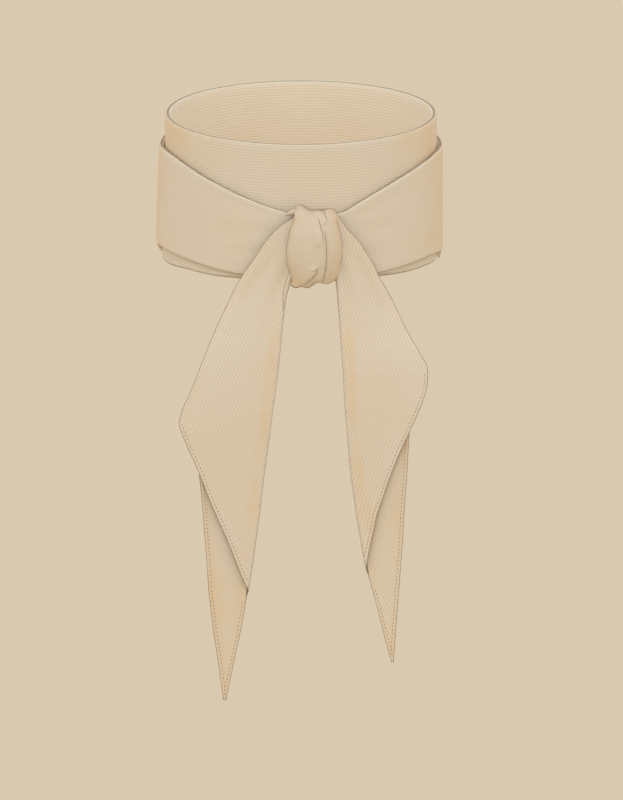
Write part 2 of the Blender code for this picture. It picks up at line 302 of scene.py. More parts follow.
def finishPiece(name, bm, material, nodes):
    mesh = bpy.data.meshes.new(name)
    bm.to_mesh(mesh)
    bm.free()
    mesh.materials.append(material)
    mesh.shade_smooth()
    piece = bpy.data.objects.new(name, mesh)
    bpy.context.scene.collection.objects.link(piece)
    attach(piece, body)
    if nodes:
        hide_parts(*nodes)
    return piece


def stripSection(faceSteps, edgeSteps):
    # a folded strip cut across: out and rise are in half walls, and share is how far up its faces
    section = [(1.0, i / faceSteps, 0.0) for i in range(faceSteps + 1)]
    section += [(math.cos(math.pi * i / edgeSteps), 1.0, math.sin(math.pi * i / edgeSteps))
                for i in range(1, edgeSteps)]
    section += [(-1.0, 1 - i / faceSteps, 0.0) for i in range(faceSteps + 1)]
    section += [(-math.cos(math.pi * i / edgeSteps), 0.0, -math.sin(math.pi * i / edgeSteps))
                for i in range(1, edgeSteps)]
    return section + section[:1]


wearAndShade = {
    "crest": 0.12,  # what counts as the distance in from an edge, right on the dark line of wear and painted shade
    "far": 9.0,  # and where nothing is darkened
    "upperAside": 0.3,  # added from the crest of an upper fold to a face of its wall
    "lowerLine": 0.75,  # mm above a lower fold's lowest point
    "lowerSpread": 0.8,  # added for each mm off that line
    "lowerOut": 0.3,  # the line shows from here out, in half walls
}


def upperRim(out, below):  # an upper fold is darkened along its crest: wear, and painted shade where it turns over
    return below + wearAndShade["upperAside"] * abs(out)


def lowerRim(out, above):  # a lower fold is darkened where its outside starts to turn under: painted shade, with some wear
    if out > wearAndShade["lowerOut"]:
        return wearAndShade["crest"] + wearAndShade["lowerSpread"] * abs(above - wearAndShade["lowerLine"])
    return wearAndShade["far"]


layers = {
    "neck": 380 / (2 * math.pi),  # radius inside the first turn
    "bandWall": 2.5,
    "wrapWall": 2.5,
    "tailRoom": 1.2,  # kept for the under layer of a tail
    "foldRadius": 1.2,  # of a tail's fold
    "gap": 0.3,
}
bandOutside = layers["neck"] + layers["bandWall"]
wrapInside = bandOutside + layers["gap"]
tailMiddle = wrapInside + layers["wrapWall"] + layers["gap"] + layers["tailRoom"] / 2
knotSeat = tailMiddle + layers["tailRoom"] / 2 + 2 * layers["foldRadius"] + layers["gap"]


# The first turn: a closed band, folded at its top and bottom edges

neckBand = {
    "top": 33.5,
    "bottom": {
        "angle": [-180, -120, -95, -84, -76, -65, -55, -41, -27, 0, 34, 43, 55, 67, 76, 84, 95, 120, 180],
        "z": [-33.2, -33.6, -34.4, -34.8, -34.6, -33.8, -32.9, -32.8, -32.3, -32.2, -32.4, -32.8, -33.4,
              -33.9, -34.7, -35.4, -34.8, -33.8, -33.2],
        "flare": [0, 0.4, 1.3, 1.5, 1.4, 0.9, 0.5, 0.2, 0, 0, 0, 0, 0, 0, 0, 0, 0, 0, 0],
        # warmth: ochre painted shade, most at the sides where the band turns away
        "warmth": [0.2, 0.3, 0.7, 0.85, 0.85, 0.75, 0.55, 0.35, 0.2, 0.15, 0.25, 0.4, 0.6, 0.8, 0.85,
                   0.85, 0.7, 0.3, 0.2],
    },
    "flareHeights": (18, -34),  # it stands away from the neck from the first of these to the second
    "ribPitch": 1.36,
    "ochreShadeHeights": (-32, -4),  # its ochre painted shade grows from the first of these to the second
    "insidePale": 0.9,  # painted light: the shaded inside is made paler
    "around": 288,
    "faceSteps": 26,
    "edgeSteps": 8,
}


def makeNeckBand(look):
    section = stripSection(look["faceSteps"], look["edgeSteps"])
    lines = smoothLines(look["bottom"], "angle")
    half = layers["bandWall"] / 2

    def spot(column, row):
        angle = -180 + 360 * column / look["around"]
        out, share, rise = section[row]
        low = lines["z"](angle) + half
        z = low + (look["top"] - half - low) * share + half * rise
        flare = lines["flare"](angle) * soft(*look["flareHeights"], z)
        return angle, out, z, layers["neck"] + half * (1 + out) + flare

    def place(column, row):
        angle, out, z, radius = spot(column, row)
        turn = math.radians(angle)
        return radius * math.sin(turn), -radius * math.cos(turn), z

    def ribs(column, row, middle):
        angle, out, z, radius = spot(column, row)
        return (math.radians(angle) * radius / look["ribPitch"], z / look["ribPitch"])

    def marks(column, row):
        angle, out, z, radius = spot(column, row)
        rim = min(upperRim(out, look["top"] - z), lowerRim(out, z - lines["z"](angle)))
        inside = soft(0, 1, -out)
        # painted ochre shade at the band's sides
        ochreShade = lines["warmth"](angle) * (1 - inside) * soft(*look["ochreShadeHeights"], z)
        # painted light makes the shaded inside pale
        return rim, ochreShade - look["insidePale"] * inside

    bm = clothGrid(look["around"], len(section) - 1, place, ribs, marks)
    closeTube(bm, False)
    piece = finishPiece("neckBand", bm, ribbedCloth, ["neck_band"])


makeNeckBand(neckBand)
print("neck band made")


# The second turn: two folded strips, lying on the first turn

wrapLeft = {
    "rows": {  # at each angle: its edges, how far its cloth is pushed out or in, and its ochre painted shade
        "angle": [-195, -150, -122, -111, -104, -97, -90, -83, -77, -66, -55, -40, -22, -11, -3, 5],
        "top": [20.9, 20.8, 19.8, 19.3, 19.0, 18.8, 18.8, 19.4, 19.9, 19.5, 17.6, 13.3, 7.1, 3.4, 1.2,
                0.6],
        "bottom": [-33.5, -34.2, -35.0, -36.4, -36.6, -33.8, -30.4, -28.2, -27.0, -26.8, -27.1, -28.4,
                   -29.8, -30.0, -29.6, -28.8],
        "lift": [0] * 16,
        "flare": [0, 0.2, 0.6, 1.0, 1.2, 1.3, 1.4, 1.4, 1.2, 0.8, 0.5, 0.2, 0, 0, 0, 0],
        "gather": [0] * 16,
        "rollIn": [0, 0, 0.3, 1.0, 1.5, 1.2, 0.7, 0.2, 0, 0, 0, 0, 0, 0, 0, 0],
        "warmth": [0.2, 0.3, 0.45, 0.52, 0.6, 0.68, 0.74, 0.74, 0.64, 0.46, 0.3, 0.2, 0.2, 0.3, 0.4, 0.4],
    },
    "ribTop": 0.7,  # the ribs follow the top edge by this share, and the bottom edge by the rest
    "ribPitch": 1.40,
    "creases": [  # path in angles and heights, height, width
        ([(-8, 0), (-26, 3.5), (-44, 8)], -0.22, 2.4),
        ([(-8, -8), (-24, -8.5), (-38, -9)], -0.26, 2.8),
        ([(-8, -16), (-20, -18), (-31, -21)], -0.20, 2.2),
        ([(-78, 12), (-84, -2), (-88, -20)], 0.25, 4.5),
        ([(-110, 14), (-132, 6), (-150, 4)], -0.25, 3.2),
        ([(-124, -12), (-150, -16), (-172, -14)], -0.30, 3.6),
    ],
    "nodes": ["wrap_left"],
    "flat": (0.226, 0.056),
}
wrapRight = {
    "rows": {  # as on the left; its lift takes it over the other strip at the nape
        "angle": [8.5, 16, 24, 33, 46, 62, 75, 82, 90, 96, 103, 112, 125, 140, 160, 172, 185, 198, 210,
                  222, 231],
        "top": [0.4, 1.0, 5.0, 9.2, 14.0, 17.6, 18.9, 18.9, 18.8, 18.8, 18.9, 19.1, 19.7, 20.6, 22.5,
                23.8, 25.8, 28.0, 29.8, 30.8, 31.2],
        "bottom": [-28.8, -29.8, -30.2, -30.0, -29.2, -28.6, -29.5, -31.2, -34.3, -37.4, -38.6, -38.0,
                   -36.4, -35.0, -33.4, -25.0, -8.0, 9.0, 22.2, 26.0, 28.4],
        "lift": [0] * 14 + [2.8, 2.8, 2.8, 2.8, 2.8, 0.6, 0],
        "flare": [0] * 21,
        "gather": [0] * 13 + [0.1, 0.3, 0.5, 0.7, 0.6, 0.3, 0, 0],
        "rollIn": [0, 0, 0, 0, 0, 0, 0, 0.2, 0.9, 1.7, 1.9, 1.5, 0.6, 0, 0, 0, 0, 0, 0, 0, 0],
        "warmth": [0.4, 0.3, 0.2, 0.22, 0.3, 0.5, 0.7, 0.76, 0.74, 0.7, 0.64, 0.56, 0.46, 0.36, 0.28, 0.3,
                   0.3, 0.3, 0.4, 0.5, 0.5],
    },
    "ribTop": 1.0,
    "ribPitch": 1.55,
    "creases": [
        ([(21, -2), (34, 3.0), (52, 9)], -0.22, 2.4),
        ([(21, -10), (33, -9), (46, -8)], -0.26, 2.8),
        ([(21, -18), (31, -20), (40, -23)], -0.20, 2.2),
        ([(76, 12), (82, -4), (86, -22)], 0.22, 4.5),
        ([(108, 8), (130, 4), (150, 8)], -0.28, 3.2),
        ([(112, -18), (136, -20), (156, -12)], -0.30, 3.4),
    ],
    "nodes": ["wrap_right"],
    "flat": (0.250, 0.055),
}
wrapCloth = {
    "degrees": 0.9,  # between two points
    "faceSteps": 30,
    "edgeSteps": 6,
    "leastFlat": 0.05,  # half the face that is left between its folds where it is narrowest
    "gathers": 3,
    "rollHeight": 4.5,  # over which the lower edge rolls in
    # painted light: the shaded inside of each strip is made paler
    "insidePale": 0.5,
    "insideEdge": (-0.7, 0.5),  # where the pale inside starts and ends, in half walls
}


def makeWrap(name, look):
    section = stripSection(wrapCloth["faceSteps"], wrapCloth["edgeSteps"])
    lines = smoothLines(look["rows"], "angle")
    first = look["rows"]["angle"][0]
    last = look["rows"]["angle"][-1]
    columns = round((last - first) / wrapCloth["degrees"])
    cache = {}

    def strip(column):
        if column not in cache:
            angle = first + (last - first) * column / columns
            cache[column] = (angle, {key: line(angle) for key, line in lines.items()})
        return cache[column]

    def spot(column, row):
        angle, here = strip(column)
        out, share, rise = section[row]
        height = here["top"] - here["bottom"]
        half = layers["wrapWall"] / 2
        turned = min(half, height / 2 - wrapCloth["leastFlat"])
        z = here["bottom"] + turned + (height - 2 * turned) * share + turned * rise
        up = (z - here["bottom"]) / height
        waves = 0.5 - 0.5 * math.cos(2 * math.pi * wrapCloth["gathers"] * up)
        radius = wrapInside + here["lift"] + here["flare"] * (1 - up) + here["gather"] * waves
        radius += half * (1 + out)
        if out > 0:
            radius += out * creaseRelief(look["creases"], angle, z)
            radius -= out * here["rollIn"] * (1 - soft(0, wrapCloth["rollHeight"], z - here["bottom"]))
        return angle, here, out, z, radius

    def place(column, row):
        angle, here, out, z, radius = spot(column, row)
        turn = math.radians(angle)
        return radius * math.sin(turn), -radius * math.cos(turn), z

    def ribs(column, row, middle):
        angle, here, out, z, radius = spot(column, row)
        base = look["ribTop"] * here["top"] + (1 - look["ribTop"]) * here["bottom"]
        return (math.radians(angle) * radius / look["ribPitch"], (z - base) / look["ribPitch"])

    def marks(column, row):
        angle, here, out, z, radius = spot(column, row)
        rim = min(upperRim(out, here["top"] - z), lowerRim(out, z - here["bottom"]))
        pale = wrapCloth["insidePale"]
        # the inside turns pale: painted light over its shade
        return rim, (here["warmth"] + pale) * soft(*wrapCloth["insideEdge"], out) - pale

    bm = clothGrid(columns, len(section) - 1, place, ribs, marks)
    closeTube(bm, True)
    piece = finishPiece(name, bm, ribbedCloth, look["nodes"])


makeWrap("wrapLeft", wrapLeft)
makeWrap("wrapRight", wrapRight)
print("wraps made")


# The two ends: each hangs from the knot, folded lengthwise, its face layer over its under layer

tailLeft = {
    "rows": {  # at each height: the width of its face, its fold, the under layer's edge, and its bend
        "z": [1.5, -5.5, -16.8, -26.8, -37.3, -51.2, -65.5, -81.2, -93.0, -97.5, -102.0, -109.4, -122.7,
              -134.2, -156.1, -170.0, -178.0, -186.0, -194.3, -212.4, -230.4],
        "face": [6.6, 15.4, 21.2, 22.9, 24.9, 29.6, 34.3, 38.6, 42.0, 42.6, 41.0, 37.0, 29.4, 23.8, 11.7,
                 4.6, 0, -2, -6, -6, -6],
        "fold": [4.8, 4.0, 1.5, -3.2, -6.8, -8.6, -10.0, -11.8, -13.4, -13.9, -14.4, -15.4, -17.2, -18.5,
                 -21.3, -23.2, -24.7, -25.9, -27.3, -31.0, -34.6],
        "under": [-1.2, -10.4, -18.0, -24.2, -29.6, -35.6, -41.0, -46.0, -49.2, -50.0, -49.6, -48.6,
                  -47.2, -46.0, -44.3, -43.3, -42.8, -41.9, -41.0, -38.4, -36.0],
        "forward": [0, 0, 0, 0, 0.2, 1.2, 2.0, 2.4, 2.4, 2.3, 2.2, 2.0, 1.6, 1.3, 0.8, 0.5, 0.4, 0.3, 0.2,
                    0, 0],
        "curve": [0, 0, 0, 0, 4, 20, 50, 80, 100, 110, 120, 130, 150, 160, 180, 190, 200, 200, 200, 200,
                  200],
        "puff": [0, 0, 0, 0, 0.3, 0.9, 1.3, 1.5, 1.4, 1.3, 1.2, 1.0, 0.7, 0.5, 0.2, 0, 0, 0, 0, 0, 0],
    },
    "side": -1,  # it spreads to -X from its fold
    "corner": -97.5,  # where the hem of the face layer starts
    "faceRibs": {"z": [-17, -29, -34, -46, -65, -86, -106, -134, -153],
                 "lean": [53, 57.4, 60.3, 62.4, 68, 67, 66.5, 65.3, 62]},
    "inner": {  # the edge of an inner layer that shows beside the fold
        "z": [-24, -30, -36, -43, -47],
        "in": [3.1, 3.0, 2.3, 1.5, 1.2],
        "fade": (-42, -48),
        "fadeBy": 0.5,
        "end": -50,
    },
    "underRibs": {"z": [-17, -120, -200], "lean": [60, 56, 54]},
    "ribPitch": (1.45, 1.27),  # of the face and of the under layer
    "hems": [  # edge, from the height, to the height
        ("start", -99.0, -173.0),
        ("start", -184.0, -228.0),
        ("end", -99.0, -228.0),
    ],
    "nodes": ["tail_left"],
    "flat": (0.080, 0.232),
    "area": 0.0125,
}
tailRight = {
    "rows": {
        "z": [1.5, -5.5, -14.5, -25.6, -41.2, -56.3, -66.0, -73.8, -80.3, -89.0, -98.9, -112.8, -122.4,
              -132.0, -142.0, -151.0, -160.0, -168.0, -176.0, -184.0, -200.0, -212.4],
        "face": [8.4, 12.5, 17.7, 18.7, 24.6, 30.8, 35.8, 38.9, 38.4, 35.5, 30.5, 22.9, 18.2, 13.7, 9.2,
                 5.9, 2.5, 0, -2, -6, -6, -6],
        "fold": [8.6, 8.8, 10.6, 15.6, 17.4, 18.5, 19.2, 19.8, 20.1, 20.5, 21.3, 22.4, 23.3, 24.6, 25.9,
                 27.4, 28.9, 30.6, 32.6, 34.7, 38.6, 41.8],
        "under": [16.2, 20.2, 26.2, 32.0, 39.4, 45.6, 49.4, 51.6, 52.2, 51.6, 50.6, 49.7, 49.2, 48.5,
                  47.8, 47.3, 46.8, 46.2, 45.6, 45.0, 43.8, 43.0],
        "forward": [0, 0, 0, 0, 0.3, 1.4, 2.0, 2.3, 2.3, 2.2, 2.0, 1.6, 1.3, 1.0, 0.8, 0.6, 0.5, 0.4, 0.3,
                    0.2, 0, 0],
        "curve": [0, 0, 0, 0, 6, 24, 45, 60, 70, 85, 100, 120, 140, 150, 160, 170, 180, 190, 200, 200,
                  200, 200],
        "puff": [0, 0, 0, 0, 0.4, 1.0, 1.3, 1.4, 1.3, 1.2, 1.0, 0.8, 0.6, 0.4, 0.2, 0, 0, 0, 0, 0, 0, 0],
    },
    "side": 1,
    "corner": -73.8,
    "faceRibs": {"z": [-12.5, -24, -43, -63, -82, -101, -117, -139],
                 "lean": [76, 67.5, 64.4, 64, 64, 66, 70, 78]},
    "underRibs": {"z": [-60, -125, -144, -160, -177, -184], "lean": [150, 145.5, 137, 126, 123, 120]},
    "ribPitch": (1.50, 1.60),
    "hems": [
        ("start", -76.0, -163.0),
        ("start", -178.0, -210.0),
        ("end", -76.0, -210.0),
    ],
    "nodes": ["tail_right"],
    "flat": (0.072, 0.214),
    "area": 0.0105,
}
tailCloth = {
    "wall": 0.9,
    "plainShare": 0.72,  # of the wall, away from the hems
    "hem": 2.2,
    "hemStep": 0.5,  # how far the cloth thins on either side of the hem's inner edge
    "columns": 116,
    "rowStep": 1.25,
    # pulls from the knot: place across the face layer, height, width
    "gathers": [(0.13, 0.55, 1.7), (0.34, -0.45, 2.0), (0.58, 0.50, 2.4), (0.80, -0.40, 1.9)],
    "gatherHead": (-12, -30),  # the gathers grow from the first height to the second
    "gatherFoot": (-72, -36),  # and from below in the same way
    "curveAside": 0.15,  # how far a tail's bend leans to its own side
    "ribSlant": 0.91,  # how much closer the ribs are across their slant than level
    "leanStep": 2.0,
    "innerTrough": (0.3, 0.45),  # depth and width of the step at an inner layer's edge
    "innerWearShade": (0.15, 0.7),  # a dark line at that edge, and more for each mm off it: painted shade in the step
    "foldWearShade": 0.25,  # how fast the dark line on the fold fades: wear and painted shade
    "warmth": 0.15,
    "underWarmth": 0.22,  # more, on the under layer, as painted shade
    # ochre painted shade beside the tail's fold and along its edges
    "foldShade": {"share": 0.5, "in": 4.5, "width": 4.0, "heights": (-30, -62), "fullFrom": 18},
    "edgeShade": (0.3, 6.0),  # share and width
}


def foldLength(width, radius):  # cloth round the fold for a width seen from in front
    if width <= radius:
        return radius * math.acos(1 - width / radius)
    return radius * math.pi / 2 + width - radius


def foldPlace(length, radius):  # how far in from the fold, and how far in front of the under layer
    quarter = radius * math.pi / 2
    if abs(length) < quarter:
        turn = length / radius
        return radius * (1 - math.cos(turn)), radius * (1 - math.sin(turn))
    return radius + abs(length) - quarter, (0.0 if length > 0 else 2 * radius)


class TailSheet:  # the middle of a tail's cloth: a point for each height and length from the fold's crest
    def __init__(self, look):
        self.look = look
        self.lines = smoothLines(look["rows"], "z")
        self.side = look["side"]
        self.top = look["rows"]["z"][0]
        self.tip = look["rows"]["z"][-1]
        self.rows = {}
        self.lean = [self.leanTable(look["faceRibs"]), self.leanTable(look["underRibs"])]
        self.inner = smoothLine(look["inner"]["z"], look["inner"]["in"]) if "inner" in look else None

    def nearInner(self, z, length):  # how far off the edge of the inner layer, if the tail shows one
        if self.inner is None or length > 0 or z < self.look["inner"]["end"]:
            return wearAndShade["far"]
        faded = self.look["inner"]["fadeBy"] * soft(*self.look["inner"]["fade"], z)
        return abs(-length - self.inner(z)) + faded

    def leanTable(self, ribs):  # how far the ribs have leant across, added up down the tail
        lean = smoothLine(ribs["z"], ribs["lean"])
        step = tailCloth["leanStep"]
        places = [self.top - i * step for i in range(int((self.top - self.tip) / step) + 2)]
        total = 0.0
        values = []
        for z in places:
            values.append(total)
            total -= step / math.tan(math.radians(lean(z)))
        return smoothLine(places, values)

    def row(self, z):
        if z not in self.rows:
            here = {key: line(z) for key, line in self.lines.items()}
            radius = layers["foldRadius"] + here["puff"] / 2
            face = here["face"]
            start = -foldLength(face, radius) if face >= 0 else foldLength(min(-face, radius), radius)
            crest = here["fold"] - self.side * (foldPlace(start, radius)[0] if start > 0 else 0.0)
            end = foldLength(abs(here["under"] - crest), radius)
            self.rows[z] = (here, radius, start, crest, end)
        return self.rows[z]

    def at(self, z, length):
        here, radius, start, crest, end = self.row(z)
        inward, off = foldPlace(length, radius)
        x = crest + self.side * inward
        across = x - self.side * tailCloth["curveAside"] * here["curve"]
        reach = tailMiddle + here["curve"] + off
        y = here["curve"] - here["forward"] - math.sqrt(reach ** 2 - across ** 2)
        fade = soft(*tailCloth["gatherFoot"], z) * soft(*tailCloth["gatherHead"], z)
        if fade > 0 and length < 0:
            share = (length - start) / (-start)
            for middle, height, width in tailCloth["gathers"]:
                away = (share - middle) * abs(start) / width
                y -= fade * height * math.exp(-away * away)
        depth, width = tailCloth["innerTrough"]
        y += depth * math.exp(-((self.nearInner(z, length) / width) ** 2))
        return Vector((x, y, z))

    def ribs(self, z, length, layer):
        x = self.at(z, length).x
        pitch = self.look["ribPitch"][layer]
        return (z / pitch, (x - self.lean[layer](z)) * tailCloth["ribSlant"] / pitch)


def makeTail(name, look):
    sheet = TailSheet(look)
    columns = tailCloth["columns"]
    rows = round((sheet.top - sheet.tip) / tailCloth["rowStep"])

    def spot(column, row):
        z = sheet.top + (sheet.tip - sheet.top) * row / rows
        here, radius, start, crest, end = sheet.row(z)
        return z, start + (end - start) * column / columns, start, end

    def place(column, row):
        z, length, start, end = spot(column, row)
        return sheet.at(z, length)

    def ribs(column, row, middle):
        z, length, start, end = spot(column, row)
        layer = 0 if spot(middle, row)[1] < 0 else 1
        return sheet.ribs(z, length, layer)

    def marks(column, row):
        z, length, start, end = spot(column, row)
        # the tail's dark line: at its edges it is wear, on its fold and at the inner layer's step it is
        # painted shade
        rim = min(length - start, end - length)
        foldRim = wearAndShade["crest"] + tailCloth["foldWearShade"] * abs(length) if start < 0 else wearAndShade["far"]
        least, more = tailCloth["innerWearShade"]
        innerRim = least + more * sheet.nearInner(z, length)
        ochreShade = tailCloth["foldShade"]
        warmth = tailCloth["warmth"] + (tailCloth["underWarmth"] if length > 0 else 0.0)
        warmth += (ochreShade["share"] * math.exp(-(((abs(length) - ochreShade["in"]) / ochreShade["width"]) ** 2))
                   * soft(0, ochreShade["fullFrom"], -start) * soft(*ochreShade["heights"], z))
        edgeShare, edgeWidth = tailCloth["edgeShade"]
        warmth += edgeShare * math.exp(-((rim / edgeWidth) ** 2))
        return min(rim, foldRim, innerRim), warmth

    bm = clothGrid(columns, rows, place, ribs, marks)
    bmesh.ops.recalc_face_normals(bm, faces=bm.faces)
    piece = finishPiece(name, bm, ribbedCloth, look["nodes"])
    group = piece.vertex_groups.new(name="hem")
    hemmedTo = tailCloth["hem"]
    step = tailCloth["hemStep"]
    for row in range(rows + 1):
        for column in range(columns + 1):
            z, length, start, end = spot(column, row)
            hemmed = z < look["corner"]
            near = min(length - start, end - length) if hemmed else end - length
            plain = soft(hemmedTo - step, hemmedTo + step, near)
            weight = 1 - (1 - tailCloth["plainShare"]) * plain
            group.add([row * (columns + 1) + column], weight, "REPLACE")
    thicken = piece.modifiers.new("cloth", "SOLIDIFY")
    thicken.thickness = tailCloth["wall"] * mm
    thicken.offset = 0.0
    thicken.use_even_offset = True
    thicken.vertex_group = group.name
    return piece, sheet


stitch = {
    "pitch": 1.85,
    "length": 0.85,
    "width": 0.34,
    "halfThick": 0.35,  # of its width
    "inset": 1.5,  # in from the edge
    "proud": 0.10,
    "sunk": 0.25,  # of its width
    "sides": 6,
    "rings": 5,
    "reach": (0.5, 0.3),  # how far off the edge's slope and the cloth's directions are read
    "leastDrop": 0.3,
}


def edgeLength(sheet, edge, z):  # how far from the fold's crest an edge lies at this height
    here, radius, start, crest, end = sheet.row(round(z, 3))
    return start if edge == "start" else end


def onHem(sheet, edge, z):  # a point in from the edge, the direction along it and the one out of the cloth
    slopeReach, reach = stitch["reach"]
    length = edgeLength(sheet, edge, z)
    inward = 1.0 if edge == "start" else -1.0
    slope = (edgeLength(sheet, edge, z - slopeReach) - length) / -slopeReach
    across = Vector((1.0, -slope)).normalized() * inward  # in lengths and heights
    z = round(z + across.y * stitch["inset"], 3)
    length += across.x * stitch["inset"]
    point = sheet.at(z, length)
    down = sheet.at(round(z - reach, 3), length) - point
    over = sheet.at(z, length + reach) - point
    along = (down - over * slope).normalized()
    return point, along, over.cross(down).normalized()


def hemStitches(name, sheet):  # small stitches along each hem, on both sides of the cloth
    bm = bmesh.new()
    for edge, top, bottom in sheet.look["hems"]:
        z = top
        while z > bottom:
            point, along, normal = onHem(sheet, edge, z)
            side = along.cross(normal).normalized()
            for face in (-1, 1):
                out = tailCloth["wall"] / 2 + stitch["proud"] - stitch["width"] * stitch["sunk"]
                centre = point + normal * face * out
                shape = Matrix((side * stitch["width"] / 2, along * stitch["length"] / 2,
                                normal * stitch["width"] * stitch["halfThick"])).transposed().to_4x4()
                shape = Matrix.Scale(mm, 4) @ Matrix.Translation(centre) @ shape
                bmesh.ops.create_uvsphere(bm, u_segments=stitch["sides"], v_segments=stitch["rings"],
                                          radius=1.0, matrix=shape)
            z -= max(abs(along.z) * stitch["pitch"], stitch["leastDrop"])
    bmesh.ops.recalc_face_normals(bm, faces=bm.faces)
    return finishPiece(name, bm, hemThread, [])


leftTail, leftSheet = makeTail("tailLeft", tailLeft)
rightTail, rightSheet = makeTail("tailRight", tailRight)
leftStitches = hemStitches("hemStitchesLeft", leftSheet)
rightStitches = hemStitches("hemStitchesRight", rightSheet)
print("tails and hems made")


# The knot: one loop of gathered cloth over both tails, with a corner of cloth pulled out at its top

knot = {
    "rows": {  # its edges, how far its back and its front lie from the middle of the neck
        "z": [2.9, 2.75, 2.4, 1.8, 0.9, -0.3, -2.0, -4.6, -9.5, -15.0, -19.0, -23.0, -27.0, -29.6, -30.6,
              -31.0, -31.2],
        "left": [2.0, -1.8, -2.9, -3.2, -3.3, -3.3, -3.8, -4.9, -6.0, -6.7, -6.5, -5.6, -4.4, -4.1, -4.7,
                 -4.6, 2.0],
        "right": [8.0, 13.6, 15.8, 16.7, 16.9, 16.8, 16.7, 17.5, 18.7, 19.2, 18.8, 18.0, 17.3, 16.6, 15.9,
                  14.4, 7.0],
        "back": [wrapInside] * 3 + [knotSeat] * 14,
        "front": [64.6, 66.8, 69.2, 71.2, 73.0, 74.3, 75.6, 77.2, 78.6, 79.3, 79.3, 78.6, 77.0, 75.0,
                  73.6, 72.4, 71.0],
    },
    "topEdge": {"x": [-3.2, -2.6, -0.6, 1.0, 3.0, 4.6, 7.9, 9.7, 11.6, 13.9, 15.8, 17.1],
                "rise": [-0.3, 1.3, 2.3, 1.8, 0.6, -0.1, 0.2, -0.3, 0.1, 0.1, -0.5, -1.3]},
    "bottomEdge": {"x": [-5.3, -2.3, 0.2, 2.9, 5.1, 7.9, 10.2, 12.0, 14.4, 16.5],
                   "rise": [-0.6, -1.7, -1.0, -1.6, -0.7, 0.9, 0.4, 0.0, 0.4, 1.6]},
    # each fold's edge, from its top down: the cloth on its left stands over the cloth on its right
    "folds": [
        # path, height, roundness, how far back it levels out
        ([(10.4, -2.0), (11.3, -6.9), (11.7, -11.0), (11.8, -17.0), (11.2, -24.0), (10.0, -28.3),
          (8.4, -31.0)], 1.8, 1.5, 5.0),
        ([(7.2, 2.3), (8.8, -1.5), (10.0, -5.7), (10.8, -11.0)], 1.0, 1.1, 3.2),
        ([(7.8, 4.8), (10.0, 3.4), (11.4, 1.4), (12.7, -1.0)], 1.0, 1.0, 3.0),
        ([(1.8, 4.2), (4.4, 3.0), (7.6, 2.8)], 0.8, 0.9, 2.6),
        ([(7.9, -21.0), (7.4, -23.5), (5.3, -26.5), (3.0, -28.9), (0.6, -32.0)], 1.3, 1.2, 3.8),
        ([(6.9, -28.0), (5.3, -29.6), (3.6, -31.6)], 0.8, 0.8, 2.0),
        ([(7.8, -21.0), (5.4, -23.2)], 0.5, 0.6, 1.6),
    ],
    "foldTrough": 0.3,  # how deep the cloth dips along a fold's edge, as a share of its height
    "troughWidth": 0.8,
    "foldWearShade": {"crest": 0.13, "back": 0.1, "ends": 0.4},  # a dark line just behind each fold's edge, in its crease: painted shade with some wear
    "reliefEdge": (0.02, 0.45),  # its relief grows from its sides forward
    "pulls": [  # soft creases: path, height, width
        ([(-0.6, 4.0), (-1.2, -3.0), (-2.6, -9.0)], -0.30, 1.1),
        ([(3.4, 2.0), (3.6, -5.0), (2.8, -11.0)], -0.28, 1.2),
        ([(6.0, 0.5), (7.0, -6.0), (7.6, -13.0)], 0.25, 1.0),
        ([(-1.8, -31.0), (-2.4, -25.0), (-2.0, -19.5)], -0.30, 1.2),
        ([(2.4, -29.0), (2.8, -24.0), (4.4, -18.5)], -0.26, 1.1),
        ([(13.4, 2.0), (14.6, -4.0), (15.2, -11.0)], -0.30, 1.0),
        ([(13.0, -30.0), (14.6, -24.5), (15.2, -18.0)], -0.32, 1.1),
    ],
    "edgesFrom": {"top": -2.5, "bottom": -26},  # the heights where its uneven edges begin
    # its dark line grows toward its sides and its bottom edge: painted shade with some wear
    "edgeWearShade": {"sides": 1.5, "bottomIn": 0.8, "least": 0.14, "behind": 4.0},
    # painted ochre shade at its sides, on its right lobe, at its foot and behind; its front gets a base
    # tint
    "ochreShade": {"front": 0.25, "sides": 0.7, "right": 0.2, "rightPlaces": (10, 14),
              "low": 0.3, "lowHeights": (-20, -29), "behind": 0.8},
    "ribs": {"x": [-7, 10, 13, 20], "lean": [15.0, 14.0, 11.0, 10.0]},
    "ribSpread": (0.75, 0.25),  # shares of the ribs set out evenly across and evenly round it
    "ribPitch": 1.2,
    "arch": 0.72,  # how square its front is across, fuller as it goes to 0
    "around": 240,
    "frontShare": 0.8,  # of the points, on the front half
    "rings": 176,
    "tuck": {  # the corner of cloth beside the knot's top
        "middle": (-4.5, 2.3),
        "half": (3.0, 1.5, 1.0),
        "turn": 22.0,
        "radius": 67.6,
        "narrow": 0.35,  # its left end, as a share of its right
        "narrowTo": (-1.0, 0.6),  # from its left end to here, in half widths
        # the tuck's dark line grows toward its sides: painted shade
        "wearAndShade": 1.2,
        "warmth": 0.5,
        "ribLean": 0.3,
        "sides": 32,
        "rings": 20,
    },
}


def foldEdge(path, x, z):  # as nearLine, with the distance below 0 on the right of a path that runs down
    away, share = nearLine(path, x, z)
    i = min(int(share * (len(path) - 1)), len(path) - 2)
    ax, az = path[i]
    bx, bz = path[i + 1]
    turn = (bx - ax) * (z - az) - (bz - az) * (x - ax)
    return (away if turn < 0 else -away), share


